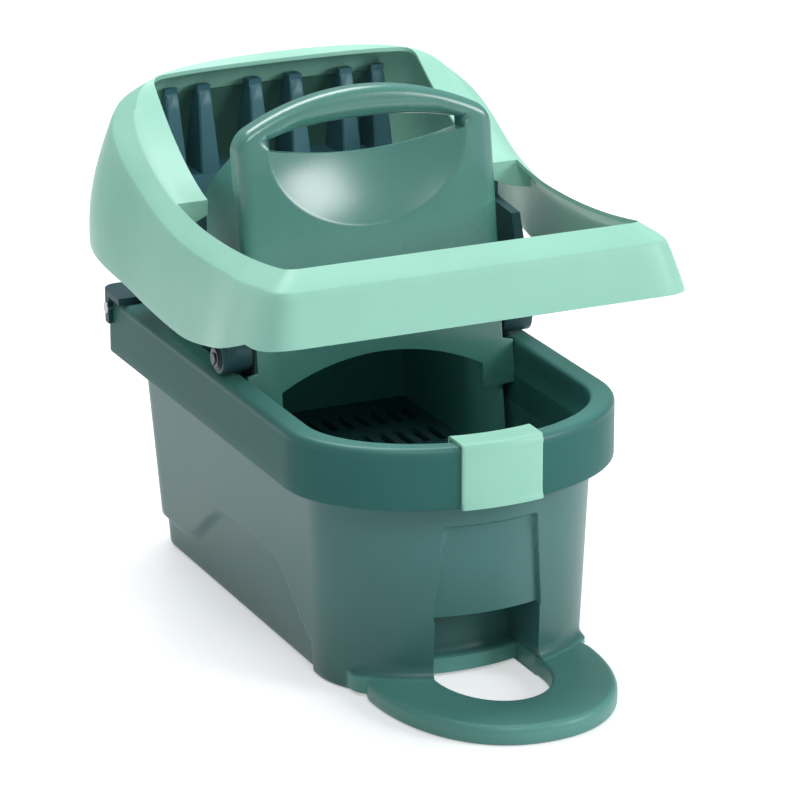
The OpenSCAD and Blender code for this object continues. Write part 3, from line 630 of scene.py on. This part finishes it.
def lever_ring():
    """Points of the upper inner edge with their outward normals, once round the lever."""
    corner_x = LEVER_W - BOW_CORNER
    right = [(x, -BOW_L, 0, -1) for x in steps(0, corner_x, 24)]
    for a in steps(-90, 0, 10)[1:]:
        c, s = math.cos(math.radians(a)), math.sin(math.radians(a))
        right.append((corner_x + BOW_CORNER * c, -BOW_L + BOW_CORNER * (1 + s),
                      max(c, 0) ** 0.45, -abs(s) ** 0.45))
    right += [(LEVER_W, y, 1, 0) for y in steps(-BOW_L + BOW_CORNER, SLOT_FRONT, 36)][1:]
    right.append((LEVER_W, SLOT_FRONT, 1, 0))
    right.append((LEVER_W, HOOD_Y, 1, 0))
    right += [hood_point(90 * (0.5 - 0.5 * math.cos(math.pi * (i / 44)))) for i in range(1, 45)]
    half = len(right)
    left = [(-x, y, -nx, ny) for x, y, nx, ny in right[1:half - 1]]
    flange_from = next(i for i, p in enumerate(right) if p[1] == SLOT_FRONT) + 1
    flags = [i >= flange_from for i in range(half)]
    return right + left[::-1], flags + flags[1:half - 1][::-1]


def slot_point(x, y):
    """The closest point inside the mop slot's edge, whose rear corners are rounded."""
    side = SLOT_W + SLOT_FLARE * (HOOD_L - 4 - y) / (HOOD_L - 4 - SLOT_FRONT)
    side = max(side, SLOT_W)
    rear = HOOD_L - 6.5
    cx, cy = side - SLOT_R, rear - SLOT_R
    ax = abs(x)
    if ax <= cx:
        return x, min(y, rear)
    if y <= cy:
        return math.copysign(min(ax, side), x), y
    dx, dy = ax - cx, y - cy
    n = math.hypot(dx, dy)
    if n <= SLOT_R:
        return x, y
    return math.copysign(cx + dx * SLOT_R / n, x), cy + dy * SLOT_R / n


def lever_section(p, has_flange):
    """The wall at one point: out along the top band, down outside, round the lip, up inside."""
    x, y, nx, ny = p
    top = edge_z(x, y)
    total = top - foot_z(y)
    f = flare_at(y)

    def at(u, d):
        return (x + nx * d, y + ny * d, top - u)
    sx, sy = slot_point(x, y) if has_flange else (x, y)
    lip = edge_z(sx, sy) if has_flange else top
    section = [(sx, sy, lip - 1.0), (mix(sx, x, 0.02), mix(sy, y, 0.02), lip)]
    section += [(mix(sx, x, t), mix(sy, y, t), mix(lip, top, t)) for t in (0.35, 0.7)]
    section += [at(0, 0.0)]
    us = [1.5, 4, 7, 9, 10, 10.6, 11.3, 12, 13, 15] + [mix(18, total - 1.6, t) for t in steps(0, 1, 11)]
    section += [at(u, f * stand_out(u)) for u in us]
    section += [at(total - 0.5, f * stand_out(total) - 0.3), at(total, f * stand_out(total) - 1.2),
                at(total - 0.2, f * stand_out(total) - LEVER_WALL + 0.4),
                at(total - 1.2, f * stand_out(total) - LEVER_WALL)]
    inner = [mix(total - 3, 18, t) for t in steps(0, 1, 9)] + [13, 10, 6]
    section += [at(u + 1.6, f * stand_out(u) - LEVER_WALL) for u in inner]
    section += [at(LEVER_WALL + 0.4, 0.0)]
    section += [(mix(sx, x, t), mix(sy, y, t), mix(lip, top, t) - LEVER_WALL) for t in (0.7, 0.02)]
    section += [(sx, sy, lip - LEVER_WALL + 1.0)]
    return section


def build_lever():
    """Hood and bow as one closed band, with two webs."""
    shape = Shape()
    ring, flags = lever_ring()
    shape.loft([lever_section(p, flag) for p, flag in zip(ring, flags)], wrap=True)
    # short webs under the front ends of the slot's flanges
    z = edge_z(LEVER_W, SLOT_FRONT)
    out = LEVER_W + FLARE * stand_out(BAND_H) - LEVER_WALL
    inner_x = slot_point(LEVER_W, SLOT_FRONT)[0]
    web = [(inner_x, z - 1.5), (inner_x, z - 11), (LEVER_W - 6, z - 19), (out + 2, z - 22), (out + 1, z - 14),
           (LEVER_W, z - 1.5)]
    for side in (1, -1):
        outline = web if side > 0 else [(-x, h) for x, h in reversed(web)]
        shape.prism(outline, lambda a, b, c: (a, c, b), SLOT_FRONT + 0.2, SLOT_FRONT + LEVER_WALL + 0.2, 0.5)
    return piece("lever_shell", shape.verts, shape.faces, MINT, "lever", ["lever"])


# ---------------------------------------------------------------- fins, and a liner of painted shade in the hood

JAW_Z = PIVOT_Z + 84
FIN_TOP = PIVOT_Z + 147
FIN_X = (16, 56.5, 82)


def rear_wall(x, z):
    """Y of the hood's inner face at the rear."""
    depth = edge_z(x, HOOD_L) - z
    return HOOD_L + flare_at(HOOD_L) * stand_out(depth) - LEVER_WALL - 1.2 - 5 * (x / 90) ** 2


def build_fins():
    """Six fins that widen downwards on the rear wall of the hood."""
    shape = Shape()
    soft = 1.2
    for x in [side * place for place in FIN_X for side in (-1, 1)]:
        rings = []
        for t in (0, 0.25, 0.5, 0.75, 0.9, 0.97, 1.0):
            z = mix(JAW_Z, FIN_TOP, t)
            half = mix(7.5, 4.6, t) - max(0.0, t - 0.9) * 9
            front = mix(HOOD_L - 5, HOOD_L + 6.5, t) + max(0.0, t - 0.9) * 45
            rear = rear_wall(x, z) - 0.3
            rings.append([(x - half, rear, z), (x - half, front + soft, z), (x - half + soft, front, z),
                          (x + half - soft, front, z), (x + half, front + soft, z), (x + half, rear, z)])
        shape.loft(rings)
    return piece("jaw_fins", shape.verts, shape.faces, SLATE, "lever")


def build_painted_shade_liner():
    """Thin liner between the fins, standing in for the jaw's back plate; its dark colour also paints the
    shade inside the hood.
    """
    shape = Shape()
    xs = steps(-87, 87, 24)
    rings = []
    for z in steps(JAW_Z - 1, FIN_TOP - 6, 8):
        near = [(x, rear_wall(x, z) - 1.2, z) for x in xs]
        far = [(x, rear_wall(x, z) + 0.2, z) for x in reversed(xs)]
        rings.append(near + far)
    shape.loft(rings)
    return piece("jaw_painted_shade_liner", shape.verts, shape.faces, PAINTED_SHADE_LINER, "lever")


# ---------------------------------------------------------------- press plate

PLATE_W, PLATE_H, PLATE_T = 98, 379, 17
LEAN, LEAN_Z = math.radians(8.6), 285
CREST = 27
GRIP_W, GRIP_H, SCOOP_D, SCOOP_DROP = 75, 25, 14.5, 54
SHOULDER_R = 10
GRIP_Z = PLATE_H - 44


def leaned(x, depth, z):
    """A point of the plate: depth behind its front face, which leans back."""
    s, c = math.sin(LEAN), math.cos(LEAN)
    h = z - LEAN_Z
    return (x, depth * c + h * s, LEAN_Z + h * c - depth * s)


def crest_z(x):
    """Height of the plate's crowned top edge."""
    r = (PLATE_W ** 2 + CREST ** 2) / (2 * CREST)
    past = max(0.0, abs(x) - PLATE_W + SHOULDER_R) / SHOULDER_R
    return PLATE_H - r + math.sqrt(r ** 2 - x ** 2) - SHOULDER_R * (1 - math.sqrt(max(0.0, 1 - past ** 2)))


def slot_sill(x):
    """Lower edge of the hand slot, which sags towards the middle."""
    return GRIP_Z - 2.5 + 9 * min(abs(x) / GRIP_W, 1) ** 2


def slot_top(x):
    """Upper edge of the hand slot, arched less than the crest."""
    return GRIP_Z + GRIP_H - 3.5 - 8 * min(abs(x) / GRIP_W, 1) ** 2.2


def rounding(distance, r):
    """How far an edge rounded by r falls back at this distance from its outline."""
    return r - math.sqrt(max(0.0, r ** 2 - max(0.0, r - distance) ** 2))


def scoop(x, z):
    """Depth of the finger scoop, a bowl that opens into the hand slot."""
    middle = GRIP_Z + 6
    reach = math.hypot(x / (GRIP_W + 1), (min(z, middle) - middle) / (SCOOP_DROP + 6))
    return SCOOP_D * max(0.0, 1 - reach ** 2)


def front_depth(x, z):
    """How far the plate's front face lies behind its plane at one point."""
    from_side = PLATE_W - abs(x)
    from_top = crest_z(x) - z
    outer = rounding(min(from_side, 9), 9) ** 2 * 0.55 + rounding(min(from_top, 8), 8) ** 2
    depth = math.sqrt(outer)
    beside = max(0.0, abs(x) - GRIP_W)
    if z <= slot_sill(x):
        depth = max(depth, scoop(x, z))
    else:
        away = math.hypot(beside, max(0.0, z - slot_top(x)))
        radius = mix(12, 7, ramp((abs(x) - 50) / (GRIP_W - 50)))
        radius *= ramp((z - slot_sill(x)) / (slot_top(x) - slot_sill(x)))
        depth = max(depth, rounding(away, radius))
    return min(depth, PLATE_T - 2)


def plate_columns():
    """X of the plate's columns, closest at the slot's ends and at the sides."""
    half = steps(0, GRIP_W, 44) + [GRIP_W + d for d in (0.6, 1.5, 3, 5, 8, 11)]
    half += [PLATE_W - d for d in (9, 7, 5, 3.5, 2.2, 1.2, 0.5, 0.1)]
    return [-x for x in reversed(half)] + half[1:]


def edge_rows(low, high, count):
    """Heights from low to high, closer together near both ends."""
    return [mix(low, high, 0.5 - 0.5 * math.cos(math.pi * t)) for t in steps(0, 1, count)]


def plate_bands(x, low):
    """Rows of one column: below the slot, beside it, and above it."""
    crest = crest_z(x)
    top = min(slot_top(x), crest - 4)
    sill = min(slot_sill(x), top - 3)
    below = steps(low, GRIP_Z - 62, 8)[:-1] + [mix(GRIP_Z - 62, sill, t) for t in steps(0, 1, 60)]
    return below, edge_rows(sill, top, 5), edge_rows(top, crest - 0.05, 16)


def plate_wall(edge):
    """Rows of points from the plate's front face to its back, along an edge of (x, z) points."""
    return [[leaned(x, mix(front_depth(x, z), PLATE_T, t), z) for t in (0, 0.5, 1)] for x, z in edge]


def build_plate():
    """Plate with its hand slot and scoop, and the panel that it carries into the bucket."""
    shape = Shape()
    low = PIVOT_Z + 44
    xs = plate_columns()
    bands = [plate_bands(x, low) for x in xs]
    every = range(len(xs))
    beside = ([c for c in every if xs[c] <= -GRIP_W + 0.01], [c for c in every if xs[c] >= GRIP_W - 0.01])
    for band in range(3):
        for columns in beside if band == 1 else (every,):
            for depth_of in (front_depth, lambda x, z: PLATE_T):
                shape.sheet([[leaned(xs[c], depth_of(xs[c], z), z) for z in bands[c][band]] for c in columns])
    # slot's inner wall
    inside = [c for c in every if abs(xs[c]) <= GRIP_W + 0.01]
    for band, row in ((0, -1), (2, 0)):
        shape.sheet(plate_wall([(xs[c], bands[c][band][row]) for c in inside]))
    for c in (inside[0], inside[-1]):
        shape.sheet(plate_wall([(xs[c], z) for z in bands[c][1]]))
    # outer wall: up the right side, over the crest and down the left side, then the lower end
    right = [(xs[-1], z) for band in bands[-1] for z in band]
    left = [(xs[0], z) for band in reversed(bands[0]) for z in reversed(band)]
    crest = [(xs[c], bands[c][2][-1]) for c in range(len(xs) - 2, 0, -1)]
    lower_end = [(x, low) for x in xs]
    shape.sheet(plate_wall(right + crest + left + lower_end))

    # lower panel inside the bucket, with an arched lower edge
    foot = RIM_H - 34
    panel_top = low + 8
    half = HALF_W - FLANGE_W - 1
    arch_r, arch_mid = 165, RIM_H + 4 - 165
    reach = 78
    arch = [(x, arch_mid + math.sqrt(arch_r ** 2 - x ** 2)) for x in steps(-reach, reach, 40)]
    outline = [(reach, foot), (half, foot + 2), (half, RIM_H - 1), (half - 8, RIM_H + 1),
               (half - 8, panel_top), (-half + 8, panel_top), (-half + 8, RIM_H + 1), (-half, RIM_H - 1),
               (-half, foot + 2), (-reach, foot)] + [p for p in arch if p[1] > foot]
    shape.prism(outline, lambda a, b, c: leaned(a, c, b), 0.2, WALL + 1, 0.6)
    return piece("press_plate_shell", shape.verts, shape.faces, TEAL, "base", ["press_plate"])


# ---------------------------------------------------------------- what stays as CAD

def dress(node, material, slot, bevel=0.0):
    """A CAD node that keeps its own shape, with a material and softened edges."""
    obj = frame["nodes"][node]
    obj.data.materials.clear()
    obj.data.materials.append(material)
    if bevel:
        weld = obj.modifiers.new("weld", "WELD")
        weld.merge_threshold = WELD_M
        soft = obj.modifiers.new("soft_edges", "BEVEL")
        soft.width = bevel * MM
        soft.segments = 2
        soft.limit_method = "ANGLE"
        soft.angle_limit = math.radians(35)
        soft.harden_normals = True


build_bucket()
build_clip()
build_lever()
build_fins()
build_painted_shade_liner()
build_plate()

FINISHES = {
    "press_jaw": (SLATE, "slate", 0.8),
    "basket": (BASKET_TEAL, "teal", 0.5),
    "rear_yoke": (DARK_SLATE, "slate", 0.6),
    "drain_grate": (GRATE, "slate", 0.0),
    "pivot_arm_left": (DARK_SLATE, "slate", 0.6),
    "pivot_arm_right": (DARK_SLATE, "slate", 0.6),
    "pivot_bracket_left": (DARK_STEEL, "steel", 0.3),
    "pivot_bracket_right": (DARK_STEEL, "steel", 0.3),
    "stop_buffers": (RUBBER, "rubber", 0.5),
}
for cad_node, finish in FINISHES.items():
    dress(cad_node, *finish)
for cad_node in frame["nodes"]:
    if cad_node.startswith(("pivot_pin", "thrust_washer", "retaining_ring")):
        dress(cad_node, DARK_STEEL, "steel", 0.15)
    elif cad_node.startswith("lock_pin") or cad_node.endswith(("_screws", "_rivets")):
        dress(cad_node, STEEL, "steel", 0.15)
    elif cad_node.startswith("pivot_bush"):
        dress(cad_node, BLACK, "bush_black")


# ---------------------------------------------------------------- stage, light and camera

def stage_material(name, colour, rough, lift):
    """A plain surface that camera, glossy and transmission rays see lifted towards white."""
    mat = bpy.data.materials.new(name)
    mat.use_nodes = True
    nodes, links = mat.node_tree.nodes, mat.node_tree.links
    shader = nodes["Principled BSDF"]
    shader.inputs["Base Color"].default_value = colour
    shader.inputs["Roughness"].default_value = rough
    glow = nodes.new("ShaderNodeEmission")
    glow.inputs["Color"].default_value = (1, 1, 1, 1)
    glow.inputs["Strength"].default_value = lift
    lifted = nodes.new("ShaderNodeAddShader")
    links.new(shader.outputs["BSDF"], lifted.inputs[0])
    links.new(glow.outputs["Emission"], lifted.inputs[1])
    path = nodes.new("ShaderNodeLightPath")
    seen = path.outputs["Is Camera Ray"]
    for kind in ("Is Glossy Ray", "Is Transmission Ray"):
        either = nodes.new("ShaderNodeMath")
        either.operation = "MAXIMUM"
        links.new(seen, either.inputs[0])
        links.new(path.outputs[kind], either.inputs[1])
        seen = either.outputs["Value"]
    chooser = nodes.new("ShaderNodeMixShader")
    links.new(seen, chooser.inputs["Fac"])
    links.new(shader.outputs["BSDF"], chooser.inputs[1])
    links.new(lifted.outputs["Shader"], chooser.inputs[2])
    links.new(chooser.outputs["Shader"], nodes["Material Output"].inputs["Surface"])
    return mat


def build_floor():
    """A pale square floor, just below the bucket's underside."""
    mesh = bpy.data.meshes.new("floor")
    size = 6.0
    z = bucket_low.z * MM - 0.0002
    floor_corners = [(-size, -size, z), (size, -size, z), (size, size, z), (-size, size, z)]
    mesh.from_pydata(floor_corners, [], [(0, 1, 2, 3)])
    floor = bpy.data.objects.new("floor", mesh)
    bpy.context.scene.collection.objects.link(floor)
    mesh.materials.append(stage_material("floor_paint", (0.9, 0.9, 0.91, 1), 0.16, 0.42))


def area_light(name, place, aim, size, power):
    """A white rectangular lamp, aimed at a point."""
    data = bpy.data.lights.new(name, "AREA")
    data.shape = "RECTANGLE"
    data.size, data.size_y = size
    data.energy = power
    lamp = bpy.data.objects.new(name, data)
    lamp.location = place
    lamp.rotation_mode = "QUATERNION"
    lamp.rotation_quaternion = (Vector(aim) - Vector(place)).to_track_quat("-Z", "Y")
    bpy.context.scene.collection.objects.link(lamp)


def build_world():
    """Weak ambient light on the object, and a white background for camera rays."""
    world = bpy.data.worlds.new("studio")
    world.use_nodes = True
    nodes, links = world.node_tree.nodes, world.node_tree.links
    ambient = nodes["Background"]
    ambient.inputs["Color"].default_value = (0.95, 0.98, 1.0, 1)
    ambient.inputs["Strength"].default_value = 0.3
    seen = nodes.new("ShaderNodeBackground")
    seen.inputs["Color"].default_value = (1, 1, 1, 1)
    seen.inputs["Strength"].default_value = 1.0
    path = nodes.new("ShaderNodeLightPath")
    chooser = nodes.new("ShaderNodeMixShader")
    links.new(path.outputs["Is Camera Ray"], chooser.inputs["Fac"])
    links.new(ambient.outputs["Background"], chooser.inputs[1])
    links.new(seen.outputs["Background"], chooser.inputs[2])
    links.new(chooser.outputs["Shader"], nodes["World Output"].inputs["Surface"])
    bpy.context.scene.world = world


def build_camera():
    """The photograph's viewing angle: low, from the front left, through a long lens."""
    azimuth, elevation = math.radians(-24.83), math.radians(19.2)
    back = Vector((math.sin(azimuth) * math.cos(elevation), -math.cos(azimuth) * math.cos(elevation),
                   math.sin(elevation)))
    data = bpy.data.cameras.new("camera")
    data.sensor_width = 36
    data.lens = 202.5
    data.clip_end = 50
    camera = bpy.data.objects.new("camera", data)
    camera.location = Vector((-1.255, -2.757, 1.205))
    camera.rotation_mode = "QUATERNION"
    camera.rotation_quaternion = (-back).to_track_quat("-Z", "Y")
    bpy.context.scene.collection.objects.link(camera)
    bpy.context.scene.camera = camera


build_floor()
build_world()
area_light("key", (2.3, -2.1, 1.5), (0, 0, 0.2), (1.4, 1.4), 54)
area_light("back_top", (0.1, 1.2, 2.7), (0, 0, 0.2), (2.2, 1.4), 72)
area_light("front_top", (-0.5, -2.0, 2.6), (0, 0, 0.15), (1.0, 1.0), 22)
area_light("side_fill", (-2.6, -0.2, 0.9), (0, 0, 0.15), (1.6, 1.6), 1)
build_camera()
bpy.context.scene.view_settings.view_transform = "Standard"
